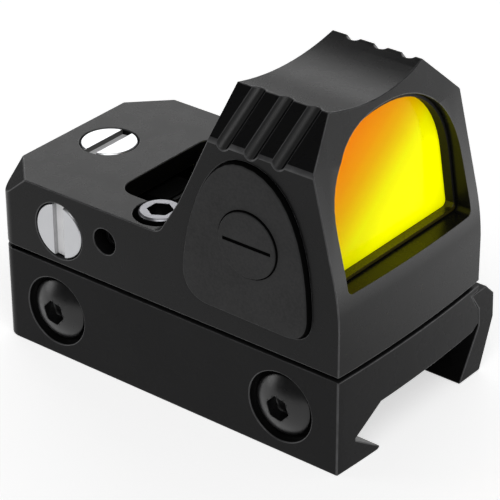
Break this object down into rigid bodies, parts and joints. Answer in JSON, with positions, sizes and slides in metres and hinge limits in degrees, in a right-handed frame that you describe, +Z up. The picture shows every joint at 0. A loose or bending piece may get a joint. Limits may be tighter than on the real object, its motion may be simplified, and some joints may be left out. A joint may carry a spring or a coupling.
{
  "type": "miniature reflex red dot sight",
  "caption": "Low open reflex sight with a black metal housing, amber coated window in a notched hood, side buttons, slotted adjusters and a rail clamp with hex screws.",
  "frame": {"origin": "on the rail seat, midway along the mount and on the sight's centre plane", "axes": "+X forward towards the window, +Y to the left where the moving jaw is, +Z up"},
  "size_m": [0.0468, 0.0296, 0.0381],
  "materials": {
    "anodised_housing": "matte black anodised",
    "anodised_mount": "matte black anodised",
    "black_steel": "satin black oxide",
    "bright_steel": "turned and plated, bright",
    "grey_steel": "plain turned steel",
    "button_rubber": "fine matte silicone",
    "seal": "black sealing compound",
    "coated_glass": "polished, amber reflective coating",
    "clear_glass": "polished",
    "brass": "machined",
    "board_green": "solder resist",
    "black_polymer": "moulded",
    "flex_film": "amber film",
    "led_window": "clear red",
    "cell_steel": "nickel plated"
  },
  "bodies": {
    "sight": {"mount_body": "anodised_mount", "sealing_plate": "seal", "mounting_screw_right": "grey_steel", "mounting_screw_left": "grey_steel", "recoil_pin_right": "grey_steel", "recoil_pin_left": "grey_steel", "housing": "anodised_housing", "lens_seal_frame": "seal", "lens_front_element": "coated_glass", "lens_rear_element": "clear_glass", "windage_screw_seal": "seal", "elevation_screw_seal": "seal", "minus_button_pad": "button_rubber", "plus_button_pad": "button_rubber", "minus_switch_dome": "grey_steel", "plus_switch_dome": "grey_steel", "minus_switch_flex": "flex_film", "plus_switch_flex": "flex_film", "battery": "cell_steel", "battery_spring_contact": "brass", "battery_side_contact": "brass", "circuit_board": "board_green", "control_chip": "black_polymer"},
    "clamp_jaw": {"clamp_plate": "anodised_mount"},
    "front_clamp_screw": {"clamp_screw_front": "black_steel"},
    "rear_clamp_screw": {"clamp_screw_rear": "black_steel"},
    "windage_adjuster": {"windage_screw": "bright_steel"},
    "windage_slider": {"windage_block": "black_steel"},
    "elevation_adjuster": {"elevation_screw": "bright_steel"},
    "light_source": {"emitter_carriage": "black_steel", "led_board": "board_green", "led_emitter": "led_window", "emitter_aperture": "black_polymer"},
    "side_lock_screw": {"lock_screw": "black_steel"},
    "minus_button": {"minus_button_key": "button_rubber"},
    "plus_button": {"plus_button_key": "button_rubber"}
  },
  "joints": [
    {"name": "clamp_slide", "type": "slide", "parent": "sight", "child": "clamp_jaw", "axis": [0, 1, 0], "range_m": [0, 0.0021]},
    {"name": "front_clamp_turn", "type": "hinge", "parent": "sight", "child": "front_clamp_screw", "pos_m": [0.0155, 0, -0.00027], "axis": [0, 1, 0], "range_deg": [-1080, 0]},
    {"name": "rear_clamp_turn", "type": "hinge", "parent": "sight", "child": "rear_clamp_screw", "pos_m": [-0.0155, 0, -0.00027], "axis": [0, 1, 0], "range_deg": [-1080, 0]},
    {"name": "windage_slide", "type": "slide", "parent": "sight", "child": "windage_slider", "axis": [0, 1, 0], "range_m": [-0.00052, 0.00052]},
    {"name": "windage_turn", "type": "hinge", "parent": "sight", "child": "windage_adjuster", "pos_m": [-0.0146, 0, 0.01], "axis": [0, 1, 0], "range_deg": [-540, 540]},
    {"name": "elevation_slide", "type": "slide", "parent": "windage_slider", "child": "light_source", "axis": [0, 0, 1], "range_m": [-0.00052, 0.00052]},
    {"name": "elevation_turn", "type": "hinge", "parent": "sight", "child": "elevation_adjuster", "pos_m": [-0.0182, 0, 0], "axis": [0, 0, 1], "range_deg": [-540, 540]},
    {"name": "lock_turn", "type": "hinge", "parent": "sight", "child": "side_lock_screw", "pos_m": [-0.00805, 0, 0.011], "axis": [0, 1, 0], "range_deg": [-720, 0]},
    {"name": "minus_press", "type": "slide", "parent": "sight", "child": "minus_button", "axis": [0, 1, 0], "range_m": [0, 0.00035], "stiffness_N_per_m": 4000},
    {"name": "plus_press", "type": "slide", "parent": "sight", "child": "plus_button", "axis": [0, -1, 0], "range_m": [0, 0.00035], "stiffness_N_per_m": 4000}
  ],
  "couplings": [
    {"joint": "front_clamp_turn", "follows": "clamp_slide", "rad_per_m": -8975.9},
    {"joint": "rear_clamp_turn", "follows": "clamp_slide", "rad_per_m": -8975.9},
    {"joint": "windage_turn", "follows": "windage_slide", "rad_per_m": 17952},
    {"joint": "elevation_turn", "follows": "elevation_slide", "rad_per_m": 17952}
  ]
}
